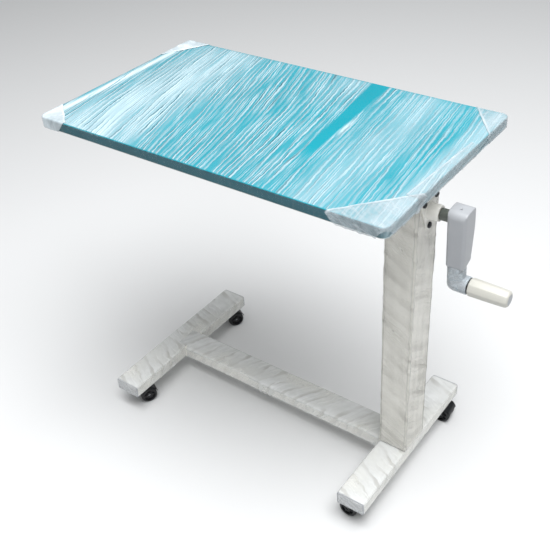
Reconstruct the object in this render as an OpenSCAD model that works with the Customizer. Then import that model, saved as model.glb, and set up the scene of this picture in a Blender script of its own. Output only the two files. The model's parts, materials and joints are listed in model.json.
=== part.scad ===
// Overbed table on castors, raised and lowered by a crank at the head of its column.
// The origin is on the floor, at the middle of the overall length. The column and the crank are
// at the +X end, and the feet run along Y.

/* [Table top] */
// Length of the table top
top_l = 760; // [600:10:1000]
// Width of the table top
top_w = 440; // [340:10:600]
// Height of the top surface with the column fully lowered
table_h = 752; // [700:1:920]
// Thickness of the core board
board_t = 18; // [12:1:30]
// Thickness of the top laminate and of the backing laminate
laminate_t = 1; // [0.6:0.1:2]
// Thickness of the edge band
edge_t = 2; // [1:0.5:4]
// Radius of the top's corners, seen from above
corner_r = 12; // [6:1:30]

/* [Support frame] */
// Width of a support rail
rail_w = 40; // [25:1:60]
// Height of a support rail
rail_h = 20; // [15:1:30]
// Wall of the rails and cross tubes
rail_wall = 1.5; // [1:0.5:3]
// Distance between the rail centres
rail_spacing = 200; // [140:10:280]
// Overhang of the top past the rails' left ends
rail_inset = 70; // [40:5:120]
// Thickness of the head plate on the column
head_t = 5; // [4:1:8]

/* [Base] */
// Width of a foot tube and of the cross bar
foot_w = 62; // [50:1:80]
// Height of a foot tube and of the cross bar
foot_h = 30; // [25:1:40]
// Length of each foot
foot_l = 410; // [340:10:560]
// Wall of the base tubes
foot_wall = 2; // [1.5:0.5:3]
// Distance between the centres of the two feet
foot_spacing = 614; // [480:2:800]
// Thickness of a foot's end cap outside the tube
cap_t = 3; // [2:0.5:6]

/* [Column] */
// Outer size of the column sleeve along X
sleeve_x = 62; // [58:1:80]
// Outer size of the column sleeve along Y
sleeve_y = 76; // [74:1:110]
// Wall of the sleeve
sleeve_wall = 2; // [1.5:0.5:2.5]
// Gap between the sleeve and the inner post, which the guide pads fill
post_gap = 3; // [2:0.5:4]
// Wall of the inner post
post_wall = 2.5; // [2:0.5:3]
// Gap between the lowered sleeve and the foot
sleeve_gap = 2; // [1:0.5:6]
// Travel of the table top
travel = 350; // [200:10:380]
// Height of a guide pad
pad_h = 40; // [25:1:60]

/* [Drive] */
// Depth of the crank axis below the top surface
crank_drop = 96; // [90:1:120]
// Pitch radius of both bevel gears
gear_r = 16; // [14:0.5:17]
// Number of teeth of both bevel gears
gear_teeth = 16; // [14:2:18]
// Outer diameter of the lead screw
screw_d = 18; // [14:1:20]
// Diameter of the crank shaft
shaft_d = 14; // [10:1:16]

/* [Crank] */
// Distance from the crank axis to the grip axis
crank_throw = 135; // [110:1:180]
// Angle of the hanging crank about its axis
crank_angle = 4; // [0:1:15]
// Width of the crank arm at its hub
arm_w = 44; // [40:1:56]
// Depth of the crank arm along X
arm_depth = 36; // [34:1:44]
// Length of the arm's box below the crank axis
arm_box_l = 87; // [70:1:100]
// Length of the grip
grip_l = 75; // [60:1:120]
// Diameter of the grip next to the elbow
grip_d = 35; // [30:1:40]
// Diameter of the grip at its free end
grip_end_d = 32; // [26:1:38]

/* [Castors] */
// Height of the feet's underside above the floor
castor_h = 50; // [48:1:70]
// Diameter of a castor wheel
wheel_d = 40; // [36:1:42]
// Width of one wheel of a pair
wheel_w = 12; // [10:1:16]
// Offset of the wheel axle from the swivel axis
trail = 17; // [14:1:20]
// Distance from a foot's end to the castor stem
castor_inset = 35; // [30:1:60]

/* [Packing film] */
// Thickness of the wrapped packing film
film_t = 0.4; // [0.2:0.1:1]
// Widest hem of the film under the top's edge
film_hem = 30; // [10:1:40]

/* [Hidden] */
$fn = 64;

// Heights, from the floor up and from the top surface down
foot_top = castor_h + foot_h;
board_top = table_h - laminate_t;
board_bottom = board_top - board_t;
underside = board_bottom - laminate_t;
rail_bottom = underside - rail_h;
sleeve_top = rail_bottom - head_t;
sleeve_bottom = foot_top + sleeve_gap;
crank_z = table_h - crank_drop;

// Distances from the middle of the top out to the crank's parts
flange_t = 4;
boss_l = 22;
arm_gap = 3;
collar_room = 12;
elbow_reach = 5;
washer_t = 2;
end_play = 0.4;
housing_out = foot_spacing / 2 + sleeve_x / 2 + flange_t + boss_l;
arm_out = max(top_l / 2 + arm_gap, housing_out + collar_room);
grip_out = arm_out + arm_depth + elbow_reach + washer_t + end_play;

// Middle of the top and of the base, left of the origin because the crank reaches past the top
top_x = (top_l / 2 + film_t - grip_out - grip_l) / 2;

// Column
col_x = top_x + foot_spacing / 2;
col_face = col_x + sleeve_x / 2;
inner_x = sleeve_x - 2 * sleeve_wall;
inner_y = sleeve_y - 2 * sleeve_wall;
post_x = inner_x - 2 * post_gap;
post_y = inner_y - 2 * post_gap;
pad_clear = 0.4;
pad_t = post_gap - pad_clear;
tube_r = 4;

// Drive train inside the head of the column
run_fit = 0.05;
gear_add = 1.4;
gear_ded = 2.4;
gear_face = 7;
gear_hub_d = 24;
gear_hub_l = 8;
gear_back = crank_z - gear_r;
gear_bottom = gear_back - gear_hub_l;
thrust_t = 4;
plate_t = 8;
plate_top = gear_bottom - thrust_t;
plate_bottom = plate_top - plate_t;
nut_plate_t = 6;
nut_clear = 6;
nut_top = plate_bottom - nut_clear;
post_top = nut_top - nut_plate_t;
nut_l = 30;
nut_d = 34;
screw_tail = 25;
screw_bottom = nut_top - nut_plate_t - nut_l - travel - screw_tail;
screw_top = crank_z - gear_r + 3;
pin_d = 4;
bush_wall = 3;
nut_bolt_d = 5;
nut_bolt_x = post_x / 2 - 8;
nut_bolt_y = post_y / 2 - 8;

// Bearing housing on the outer face of the column, with two bolts above its axis and one below
flange_r = 9;
boss_d = 30;
housing_end = col_face + flange_t + boss_l;
bolt_spread = 22;
bolt_rise = 22;
bolt_drop = 30;
bolt_d = 5;
bolt_head_d = 12;
bolt_head_l = 4;
shaft_start = col_x + gear_r - gear_face - 3;

// Crank
arm_x = top_x + arm_out;
arm_end = arm_x + arm_depth;
shaft_end = arm_x + 0.7 * arm_depth;
arm_low_w = 30;
arm_notch = 7;
arm_face_y = -20;
arm_round = 4;
hub_round = 14;
arm_edge_r = 7;
elbow_r = grip_d / 2 - 1;
grip_y = arm_face_y + elbow_r;
elbow_x = arm_x + elbow_r;
elbow_end = arm_end + elbow_reach;
grip_start = top_x + grip_out;
grip_end = grip_start + grip_l;
spindle_d = 10;
spindle_seat = 18;
spindle_head_d = 16;
spindle_head_t = 3;
grip_cap_d = 20;
grip_cap_t = 3;
spindle_end = grip_end - grip_cap_t - end_play;
collar_d = 22;
collar_start = housing_end + 0.6;

// Feet and castors
tube_half = foot_l / 2 - cap_t;
bar_l = foot_spacing - foot_w;
castor_y = foot_l / 2 - castor_inset;
stem_d = 10;
stem_flange_d = 20;
stem_flange_t = 3;
stem_foot_clear = 0.5;
web_w = 12;
wheel_gap = 0.5;
axle_d = 6;
axle_z = wheel_d / 2;
hood_r = wheel_d / 2 + 3;
hood_shell = 1.8;
hood_w = web_w + 2 * (wheel_gap + wheel_w) + 2;
hood_top = castor_h - stem_flange_t - stem_foot_clear;
stem_bottom = axle_z + 11;
stem_top = castor_h + foot_wall + 12;
// Corner of each castor, and the rest heading of its trailing wheel
CASTORS = [[-1, -1, 62], [-1, 1, 60], [1, -1, 180], [1, 1, 5]];

CREAM = [0.86, 0.85, 0.80];
GREY = [0.80, 0.80, 0.78];
BLACK = [0.05, 0.05, 0.06];
STEEL = [0.55, 0.56, 0.57];
TURQUOISE = [0.16, 0.66, 0.74];

// ---- Shared shapes ----

// A plate outline with rounded corners, centred
module rounded_rect(x, y, r) {
    union() {
        square([x - 2 * r, y], center = true);
        square([x, y - 2 * r], center = true);
        for (sx = [-1, 1], sy = [-1, 1])
            translate([sx * (x / 2 - r), sy * (y / 2 - r)]) circle(r);
    }
}

// A rounded plate standing on z = 0
module plate(x, y, t, r) {
    linear_extrude(t) rounded_rect(x, y, r);
}

// A rectangular tube along Z with rounded outer corners
module tube_z(x, y, l, wall, r) {
    difference() {
        plate(x, y, l, r);
        translate([0, 0, -1]) plate(x - 2 * wall, y - 2 * wall, l + 2, max(r - wall, 0.5));
    }
}

// A rectangular tube centred on the origin, running along X
module tube_x(l, y, z, wall, r) {
    translate([-l / 2, 0, 0]) rotate([0, 90, 0]) tube_z(z, y, l, wall, r);
}

// A rectangular tube centred on the origin, running along Y
module tube_y(l, x, z, wall, r) {
    translate([0, l / 2, 0]) rotate([90, 0, 0]) tube_z(x, z, l, wall, r);
}

// A cylinder along +X from the given x
module rod_x(x, l, d) {
    translate([x, 0, 0]) rotate([0, 90, 0]) cylinder(h = l, d = d);
}

// Places its children in the frame of the crank: origin on the axis, turned to the rest angle
module at_crank() {
    translate([0, 0, crank_z]) rotate([crank_angle, 0, 0]) children();
}

// Middle of the foot on one side, -1 on the left or 1 on the right
function foot_x(side) = top_x + side * foot_spacing / 2;

// Places its children in the frame of castor i: origin on the floor under the stem, +X along the trail
module at_castor(i) {
    c = CASTORS[i - 1];
    translate([foot_x(c[0]), c[1] * castor_y, 0]) rotate(c[2]) children();
}

// ---- Table top ----

// A plate as large as the top less an inset, standing on the given height
module top_plate(z, t, inset) {
    translate([top_x, 0, z]) plate(top_l - 2 * inset, top_w - 2 * inset, t, corner_r - inset);
}

module table_board() {
    color("burlywood") difference() {
        top_plate(board_bottom, board_t, edge_t);
        table_screw_places() cylinder(h = screw_l, d = table_screw_d);
    }
}

module top_laminate() {
    color(TURQUOISE) top_plate(board_top, laminate_t, 0);
}

module backing_laminate() {
    color("white") difference() {
        top_plate(underside, laminate_t, 0);
        table_screw_places() cylinder(h = screw_l, d = table_screw_d);
    }
}

module edge_band() {
    color("darkslategray") difference() {
        top_plate(board_bottom, board_t, 0);
        top_plate(board_bottom - 1, board_t + 2, edge_t);
    }
}

// ---- Support frame ----

rail_left = top_x - top_l / 2 + rail_inset;
rail_right = col_face + 6;
rail_l = rail_right - rail_left;
rail_mid = (rail_left + rail_right) / 2;
rail_z = rail_bottom + rail_h / 2;
rail_r = 2.5;
cross_w = 30;
cross_l = rail_spacing - rail_w;
// Middles of the cross tubes between the rails
CROSS_X = [rail_left + 40, (rail_left + col_x - sleeve_x) / 2, col_x - sleeve_x / 2 - 30];
table_screw_d = 4;
screw_grip = 12;
screw_l = rail_h + laminate_t + screw_grip;

// Places its children under each table screw's hole, at the rails' underside
module table_screw_places() {
    for (side = [-1, 1], x = CROSS_X) translate([x, side * rail_spacing / 2, rail_bottom]) children();
}

module rail(side) {
    difference() {
        translate([rail_mid, side * rail_spacing / 2, rail_z])
            tube_x(rail_l, rail_w, rail_h, rail_wall, rail_r);
        table_screw_places() translate([0, 0, -1]) cylinder(h = rail_h + 2, d = table_screw_d);
    }
}

module support_rail_front() {
    color(CREAM) rail(-1);
}

module support_rail_back() {
    color(CREAM) rail(1);
}

module support_cross_tubes() {
    color(CREAM) for (x = CROSS_X)
        translate([x, 0, rail_z]) tube_y(cross_l, cross_w, rail_h, rail_wall, rail_r);
}

rail_lip = 2;

module rail_end_caps() {
    plug = 10;
    color(BLACK) for (side = [-1, 1], end = [[rail_left, -1], [rail_right, 1]])
        translate([end[0], side * rail_spacing / 2, rail_z]) rotate([0, end[1] * 90, 0]) {
            plate(rail_h, rail_w, rail_lip, rail_r);
            translate([0, 0, -plug])
                plate(rail_h - 2 * rail_wall, rail_w - 2 * rail_wall, plug, rail_r - rail_wall);
        }
}

module table_screws() {
    head_t = 2.4;
    color(STEEL) table_screw_places() {
        translate([0, 0, -head_t]) cylinder(h = head_t, d = 2 * table_screw_d);
        cylinder(h = screw_l, d = table_screw_d);
    }
}

module head_plate() {
    color(CREAM) translate([col_x, 0, sleeve_top])
        plate(sleeve_x + 12, rail_spacing + rail_w, head_t, 6);
}

// ---- Column ----

module column_sleeve() {
    slot_d = boss_d - 4;
    color(CREAM) difference() {
        translate([col_x, 0, sleeve_bottom])
            tube_z(sleeve_x, sleeve_y, sleeve_top - sleeve_bottom, sleeve_wall, tube_r);
        translate([0, 0, crank_z]) rod_x(col_x, sleeve_x, slot_d);
        housing_holes(col_face - sleeve_wall - 1, sleeve_wall + 2, bolt_d);
    }
}

// Two pairs of pads, on the X and on the Y faces of a rectangle that measures x by y
module guide_pads(x, y, z, inward) {
    w = 30;
    for (s = [-1, 1]) {
        translate([col_x + s * (x / 2 + inward * pad_t / 2), 0, z + pad_h / 2])
            cube([pad_t, w, pad_h], center = true);
        translate([col_x, s * (y / 2 + inward * pad_t / 2), z + pad_h / 2])
            cube([w, pad_t, pad_h], center = true);
    }
}

module sleeve_guide_pads() {
    color("white") guide_pads(inner_x, inner_y, sleeve_bottom + 6, -1);
}

module post_guide_pads() {
    color("white") guide_pads(post_x, post_y, post_top - pad_h - 6, 1);
}

module base_post() {
    color(STEEL) translate([col_x, 0, foot_top])
        tube_z(post_x, post_y, post_top - foot_top, post_wall, tube_r);
}

// ---- Lead screw, its nut and its bearing ----

nut_shell_d = screw_d + 2 * run_fit;

module nut_plate() {
    color(STEEL) difference() {
        translate([col_x, 0, post_top]) plate(post_x, post_y, nut_plate_t, tube_r);
        translate([col_x, 0, post_top - 1]) cylinder(h = nut_plate_t + 2, d = screw_d + 2);
        nut_bolt_holes();
    }
}

module nut_bolt_holes() {
    translate([col_x, 0, post_top - 1]) nut_bolt_places() cylinder(h = nut_plate_t + 2, d = nut_bolt_d);
}

// The nut hangs under the plate and is held by four screws through its flange
flange_nut_t = 8;

module nut_bolt_places() {
    for (sx = [-1, 1], sy = [-1, 1]) translate([sx * (nut_bolt_x - 4), sy * (nut_bolt_y - 2)]) children();
}

module drive_nut() {
    color("goldenrod") difference() {
        union() {
            translate([col_x, 0, post_top - flange_nut_t])
                plate(post_x - 2 * post_wall - 1, post_y - 2 * post_wall - 1, flange_nut_t, 2);
            translate([col_x, 0, post_top - nut_l]) cylinder(h = nut_l, d = nut_d);
        }
        translate([col_x, 0, post_top - nut_l - 1]) cylinder(h = nut_l + 2, d = nut_shell_d);
        translate([col_x, 0, post_top - flange_nut_t - 1])
            nut_bolt_places() cylinder(h = flange_nut_t + 2, d = nut_bolt_d);
    }
}

module nut_plate_screws() {
    color(STEEL) translate([col_x, 0, 0]) nut_bolt_places() {
        translate([0, 0, nut_top]) cylinder(h = 3, d = 8);
        translate([0, 0, post_top - flange_nut_t]) cylinder(h = flange_nut_t + nut_plate_t, d = nut_bolt_d);
    }
}

module lead_screw() {
    neck_d = shaft_d;
    color(STEEL) translate([col_x, 0, 0]) difference() {
        union() {
            translate([0, 0, screw_bottom]) cylinder(h = plate_bottom - screw_bottom - 1, d = screw_d);
            translate([0, 0, plate_bottom - 2]) cylinder(h = screw_top - plate_bottom + 2, d = neck_d);
        }
        translate([0, 0, gear_bottom + gear_hub_l / 2]) pin_hole();
    }
}

// A cross pin's hole through the screw gear's hub
module pin_hole() {
    rotate([90, 0, 0]) cylinder(h = gear_hub_d + 2, d = pin_d, center = true);
}

module cross_pin(x, z) {
    color(STEEL) translate([x, 0, z]) rotate([90, 0, 0])
        cylinder(h = gear_hub_d - 2, d = pin_d, center = true);
}

module screw_gear_pin() {
    cross_pin(col_x, gear_bottom + gear_hub_l / 2);
}

module crank_gear_pin() {
    cross_pin(col_x + gear_r + gear_hub_l / 2, crank_z);
}

module bearing_plate() {
    color(STEEL) translate([col_x, 0, plate_bottom]) difference() {
        plate(inner_x, inner_y, plate_t, tube_r - sleeve_wall);
        translate([0, 0, -1]) cylinder(h = plate_t + 2, d = shaft_d + 2 * bush_wall);
    }
}

module screw_bush() {
    color("goldenrod") translate([col_x, 0, plate_bottom]) difference() {
        cylinder(h = plate_t, d = shaft_d + 2 * bush_wall);
        translate([0, 0, -1]) cylinder(h = plate_t + 2, d = shaft_d + 2 * run_fit);
    }
}

module thrust_bearing() {
    color(STEEL) translate([col_x, 0, plate_top]) difference() {
        cylinder(h = thrust_t - 0.3, d = gear_hub_d + 4);
        translate([0, 0, -1]) cylinder(h = thrust_t + 2, d = shaft_d + 0.6);
    }
}

// Outline of a bevel gear at its large end, with teeth slim enough to clear at every angle
function tooth(a) = [
    for (p = [[-0.24, -gear_ded], [-0.11, gear_add], [0.11, gear_add], [0.24, -gear_ded]])
        let (t = a + p[0] * 360 / gear_teeth, r = gear_r + p[1]) [r * cos(t), r * sin(t)]
];

module gear_outline(start) {
    polygon([for (i = [0 : gear_teeth - 1]) each tooth(start + i * 360 / gear_teeth)]);
}

// A bevel gear whose teeth point up to the common apex, at the origin. Its hub stands below it.
module bevel_gear(start, bore) {
    difference() {
        union() {
            translate([0, 0, -gear_r])
                linear_extrude(gear_face, scale = (gear_r - gear_face) / gear_r) gear_outline(start);
            translate([0, 0, -gear_r - gear_hub_l]) cylinder(h = gear_hub_l, d = gear_hub_d);
        }
        translate([0, 0, -gear_r - gear_hub_l - 1]) cylinder(h = gear_hub_l + gear_face + 2, d = bore);
        translate([0, 0, -gear_r - gear_hub_l / 2]) pin_hole();
    }
}

module screw_gear() {
    color("dimgray") translate([col_x, 0, crank_z]) bevel_gear(0, shaft_d);
}

module crank_gear() {
    half_tooth = 180 / gear_teeth;
    color("dimgray") translate([col_x, 0, crank_z]) rotate([0, -90, 0]) bevel_gear(half_tooth, shaft_d);
}

// ---- Bearing housing and crank shaft ----

// Each bolt's place as Y and its height from the crank axis
BOLTS = [[-bolt_spread, bolt_rise], [bolt_spread, bolt_rise], [0, -bolt_drop]];

module housing_holes(x, l, d) {
    for (b = BOLTS) translate([0, b[0], crank_z + b[1]]) rod_x(x, l, d);
}

module bearing_housing() {
    color(GREY) difference() {
        union() {
            translate([col_face, 0, crank_z]) rotate([0, 90, 0])
                linear_extrude(flange_t) hull() for (b = BOLTS) translate([-b[1], b[0]]) circle(flange_r);
            translate([0, 0, crank_z]) rod_x(col_face, flange_t + boss_l, boss_d);
        }
        translate([0, 0, crank_z]) rod_x(col_face - 1, flange_t + boss_l + 2, shaft_d + 2 * bush_wall);
        housing_holes(col_face - 1, flange_t + 2, bolt_d);
    }
}

module shaft_bush() {
    color("goldenrod") translate([0, 0, crank_z]) difference() {
        rod_x(col_face, flange_t + boss_l, shaft_d + 2 * bush_wall);
        rod_x(col_face - 1, flange_t + boss_l + 2, shaft_d + 2 * run_fit);
    }
}

module housing_bolts() {
    color(BLACK) {
        housing_holes(col_face - sleeve_wall, sleeve_wall + flange_t, bolt_d);
        housing_holes(col_face + flange_t, bolt_head_l, bolt_head_d);
    }
}

module crank_shaft() {
    color(STEEL) difference() {
        at_crank() rod_x(shaft_start, shaft_end - shaft_start, shaft_d);
        translate([col_x + gear_r + gear_hub_l / 2, 0, crank_z]) pin_hole();
        at_crank() arm_pin_shape(arm_w);
    }
}

module shaft_collar() {
    color("dimgray") at_crank() difference() {
        rod_x(collar_start, arm_x - collar_start, collar_d);
        rod_x(collar_start - 1, arm_x - collar_start + 2, shaft_d);
    }
}

// ---- Crank arm and grip ----

// Outline of the arm's box in the plane across the crank axis, X down and Y across: round over
// the hub, tapered below it, and cut aslant at the bottom
module arm_outline() {
    top = hub_round - arm_w / 2;
    hull() {
        for (y = [hub_round, arm_w - hub_round]) translate([top, arm_face_y + y]) circle(hub_round);
        translate([arm_box_l - arm_round, arm_face_y + arm_low_w - arm_round]) circle(arm_round);
        translate([arm_box_l + arm_notch - arm_round, arm_face_y + arm_round]) circle(arm_round);
    }
}

// The arm's box, with its upright edges rounded
module arm_box() {
    intersection() {
        translate([arm_x, 0, 0]) rotate([0, 90, 0]) linear_extrude(arm_depth) arm_outline();
        translate([arm_x + arm_depth / 2, arm_face_y + arm_w / 2, -arm_box_l - arm_w])
            plate(arm_depth, arm_w, arm_box_l + 2 * arm_w, arm_edge_r);
    }
}

module crank_arm() {
    color(GREY) at_crank() difference() {
        union() {
            arm_box();
            translate([elbow_x, grip_y, -crank_throw]) {
                sphere(r = elbow_r);
                cylinder(h = crank_throw - arm_box_l + 12, r = elbow_r);
            }
            translate([0, grip_y, -crank_throw]) rod_x(elbow_x, elbow_end - elbow_x, 2 * elbow_r);
        }
        rod_x(arm_x - 1, shaft_end - arm_x + 1, shaft_d);
        arm_pin_shape(arm_w);
        translate([0, grip_y, -crank_throw]) rod_x(elbow_end - spindle_seat, spindle_seat + 1, spindle_d);
    }
}

// A pin driven through the hub and the shaft from above
module arm_pin_shape(top) {
    low = shaft_d / 2 + 5;
    translate([arm_x + arm_depth / 2, 0, -low]) cylinder(h = low + top, d = pin_d);
}

module arm_pin() {
    color(STEEL) at_crank() arm_pin_shape(arm_w / 2 - 2);
}

module grip_spindle() {
    start = elbow_end - spindle_seat;
    color(STEEL) at_crank() translate([0, grip_y, -crank_throw]) {
        rod_x(start, spindle_end - start, spindle_d);
        rod_x(spindle_end - spindle_head_t, spindle_head_t, spindle_head_d);
    }
}

module grip_washer() {
    color(BLACK) at_crank() translate([0, grip_y, -crank_throw]) difference() {
        rod_x(elbow_end, washer_t, grip_d - 5);
        rod_x(elbow_end - 1, washer_t + 2, spindle_d);
    }
}

module grip_sleeve() {
    pocket_l = grip_end - spindle_end + spindle_head_t + end_play;
    color(GREY) at_crank() translate([grip_start, grip_y, -crank_throw]) rotate([0, 90, 0]) difference() {
        rotate_extrude() polygon([
            [0, 0], [grip_d / 2 - 1.5, 0], [grip_d / 2, 2],
            [grip_end_d / 2, grip_l - 5], [grip_end_d / 2 - 1.5, grip_l - 1.5], [grip_end_d / 2 - 5, grip_l],
            [0, grip_l]
        ]);
        translate([0, 0, -1]) cylinder(h = grip_l + 2, d = spindle_d + 2 * run_fit);
        translate([0, 0, grip_l - pocket_l]) cylinder(h = pocket_l + 1, d = grip_cap_d);
    }
}

module grip_cap() {
    color(GREY) at_crank() translate([0, grip_y, -crank_throw])
        rod_x(grip_end - grip_cap_t, grip_cap_t, grip_cap_d);
}

// ---- Base ----

// One foot tube: holes under it for the castor stems
module foot(side) {
    difference() {
        translate([foot_x(side), 0, castor_h + foot_h / 2])
            tube_y(2 * tube_half, foot_w, foot_h, foot_wall, tube_r);
        for (sy = [-1, 1]) translate([foot_x(side), sy * castor_y, castor_h - 1])
            cylinder(h = foot_wall + 2, d = stem_d);
    }
}

module left_foot() {
    color(CREAM) foot(-1);
}

module right_foot() {
    color(CREAM) foot(1);
}

module cross_bar() {
    color(CREAM) translate([top_x, 0, castor_h + foot_h / 2])
        tube_x(bar_l, foot_w, foot_h, foot_wall, tube_r);
}

module foot_end_caps() {
    plug = 14;
    color(GREY) for (sx = [-1, 1], sy = [-1, 1])
        translate([foot_x(sx), sy * tube_half, castor_h + foot_h / 2]) rotate([-sy * 90, 0, 0]) {
            plate(foot_w, foot_h, cap_t, tube_r);
            translate([0, 0, -plug])
                plate(foot_w - 2 * foot_wall, foot_h - 2 * foot_wall, plug, tube_r - foot_wall);
        }
}

// ---- Castors ----

module castor_stems() {
    color(STEEL) for (i = [1 : 4]) at_castor(i) {
        translate([0, 0, stem_bottom]) cylinder(h = stem_top - stem_bottom, d = stem_d);
        translate([0, 0, castor_h - stem_flange_t]) cylinder(h = stem_flange_t, d = stem_flange_d);
    }
}

module stem_nuts() {
    color(STEEL) for (i = [1 : 4]) at_castor(i) translate([0, 0, castor_h + foot_wall]) difference() {
        cylinder(h = 8, d = 19.6, $fn = 6);
        translate([0, 0, -1]) cylinder(h = 10, d = stem_d);
    }
}

// Frame at a castor's axle, with the axle along the frame's own Z
module at_axle() {
    translate([trail, 0, axle_z]) rotate([90, 0, 0]) children();
}

module castor_hood() {
    web_r = wheel_d / 2 - 3;
    socket_d = 20;
    socket_low = stem_bottom - 2;
    skirt = 6;
    over_wheel = axle_z + wheel_d / 2 + 1.6;
    difference() {
        union() {
            at_axle() cylinder(h = web_w, r = web_r, center = true);
            translate([0, 0, socket_low]) difference() {
                cylinder(h = hood_top - socket_low, d = socket_d);
                for (s = [-1, 1]) translate([-socket_d, s * (web_w / 2 + socket_d) - socket_d, -1])
                    cube([2 * socket_d, 2 * socket_d, over_wheel - socket_low]);
            }
            at_axle() difference() {
                cylinder(h = hood_w, r = hood_r, center = true);
                cylinder(h = hood_w + 2, r = hood_r - hood_shell, center = true);
                translate([-2 * hood_r, skirt - 2 * hood_r, -hood_w])
                    cube([4 * hood_r, 2 * hood_r, 2 * hood_w]);
            }
            at_axle() intersection() {
                cylinder(h = web_w, r = hood_r - 0.5, center = true);
                translate([-2 * hood_r, skirt, -web_w]) cube([4 * hood_r, 2 * hood_r, 2 * web_w]);
            }
        }
        translate([0, 0, stem_bottom - 0.5]) cylinder(h = hood_top, d = stem_d + 2 * run_fit);
        at_axle() cylinder(h = web_w + 2, d = axle_d + 2 * run_fit, center = true);
    }
}

module castor_axle() {
    at_axle() cylinder(h = web_w + 2 * (wheel_gap + wheel_w) - 4, d = axle_d, center = true);
}

module castor_wheels() {
    face = web_w / 2 + wheel_gap;
    edge = 3;
    at_axle() for (s = [0, 180]) rotate([s, 0, 0]) translate([0, 0, face]) difference() {
        rotate_extrude() polygon([
            [0, 0], [wheel_d / 2 - 1, 0], [wheel_d / 2, 1],
            [wheel_d / 2, wheel_w - edge], [wheel_d / 2 - 1.2, wheel_w - 1], [wheel_d / 2 - edge, wheel_w],
            [0, wheel_w]
        ]);
        translate([0, 0, -1]) cylinder(h = wheel_w - 1, d = axle_d);
    }
}

// ---- Packing film ----

// The film's hem under the top stays clear of the rails' ends
module film_top() {
    rail_room = top_x + top_l / 2 - rail_right - rail_lip;
    hem = min(film_hem, rail_room - 3);
    color("lightcyan") translate([top_x, 0, underside - film_t]) difference() {
        plate(top_l + 2 * film_t, top_w + 2 * film_t, table_h - underside + 2 * film_t, corner_r + film_t);
        translate([0, 0, film_t]) plate(top_l, top_w, table_h - underside, corner_r);
        translate([0, 0, -1]) plate(top_l - 2 * hem, top_w - 2 * hem, film_t + 2, corner_r);
    }
}

// Film round the column, open where the bearing housing sits
module film_column() {
    low = sleeve_bottom + 4;
    l = sleeve_top - 4 - low;
    margin = 2;
    window = bolt_rise + bolt_drop + 2 * (flange_r + margin);
    color("lightcyan") difference() {
        translate([col_x, 0, low]) plate(sleeve_x + 2 * film_t, sleeve_y + 2 * film_t, l, tube_r + film_t);
        translate([col_x, 0, low - 1]) plate(sleeve_x, sleeve_y, l + 2, tube_r);
        translate([col_x, -bolt_spread - flange_r - margin, crank_z - bolt_drop - flange_r - margin])
            cube([sleeve_x, 2 * (bolt_spread + flange_r + margin), window]);
    }
}

// Film over the top and sides of a base tube that runs along Y from y0 to y1
module film_over_y(x, y0, y1) {
    translate([x, 0, castor_h + foot_h / 2]) difference() {
        translate([0, (y0 + y1) / 2, 0])
            tube_y(y1 - y0, foot_w + 2 * film_t, foot_h + 2 * film_t, film_t, tube_r + film_t);
        translate([-foot_w, y0 - 1, -foot_h]) cube([2 * foot_w, y1 - y0 + 2, foot_h / 2 + tube_r]);
    }
}

module film_left_foot() {
    color("lightcyan") difference() {
        film_over_y(foot_x(-1), -tube_half, tube_half);
        translate([foot_x(-1), -foot_w / 2 - 1, castor_h - 1]) cube([foot_w, foot_w + 2, foot_h + 1]);
    }
}

module film_right_foot() {
    start = sleeve_y / 2 + 2;
    color("lightcyan") for (s = [0, 1]) mirror([0, s, 0])
        film_over_y(foot_x(1), start, tube_half);
}

module film_cross_bar() {
    l = bar_l - 8;
    color("lightcyan") translate([top_x, 0, castor_h + foot_h / 2]) difference() {
        tube_x(l, foot_w + 2 * film_t, foot_h + 2 * film_t, film_t, tube_r + film_t);
        translate([-l, -foot_w, -foot_h]) cube([2 * l, 2 * foot_w, foot_h / 2 + tube_r]);
    }
}

table_board();
top_laminate();
backing_laminate();
edge_band();
table_screws();
support_rail_front();
support_rail_back();
support_cross_tubes();
rail_end_caps();
head_plate();
column_sleeve();
sleeve_guide_pads();
bearing_plate();
screw_bush();
thrust_bearing();
bearing_housing();
housing_bolts();
shaft_bush();
lead_screw();
screw_gear();
screw_gear_pin();
crank_shaft();
crank_gear();
crank_gear_pin();
shaft_collar();
crank_arm();
arm_pin();
grip_spindle();
grip_washer();
grip_sleeve();
grip_cap();
left_foot();
right_foot();
cross_bar();
foot_end_caps();
base_post();
post_guide_pads();
nut_plate();
drive_nut();
nut_plate_screws();
castor_stems();
stem_nuts();
for (i = [1 : 4]) {
    color(BLACK) at_castor(i) castor_hood();
    color(STEEL) at_castor(i) castor_axle();
    color(BLACK) at_castor(i) castor_wheels();
}
film_top();
film_column();
film_left_foot();
film_right_foot();
film_cross_bar();
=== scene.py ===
"""Overbed table in clear packing film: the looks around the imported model."""
import json
import math
import bmesh
import bpy
from mathutils import Matrix, Vector, noise


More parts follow.
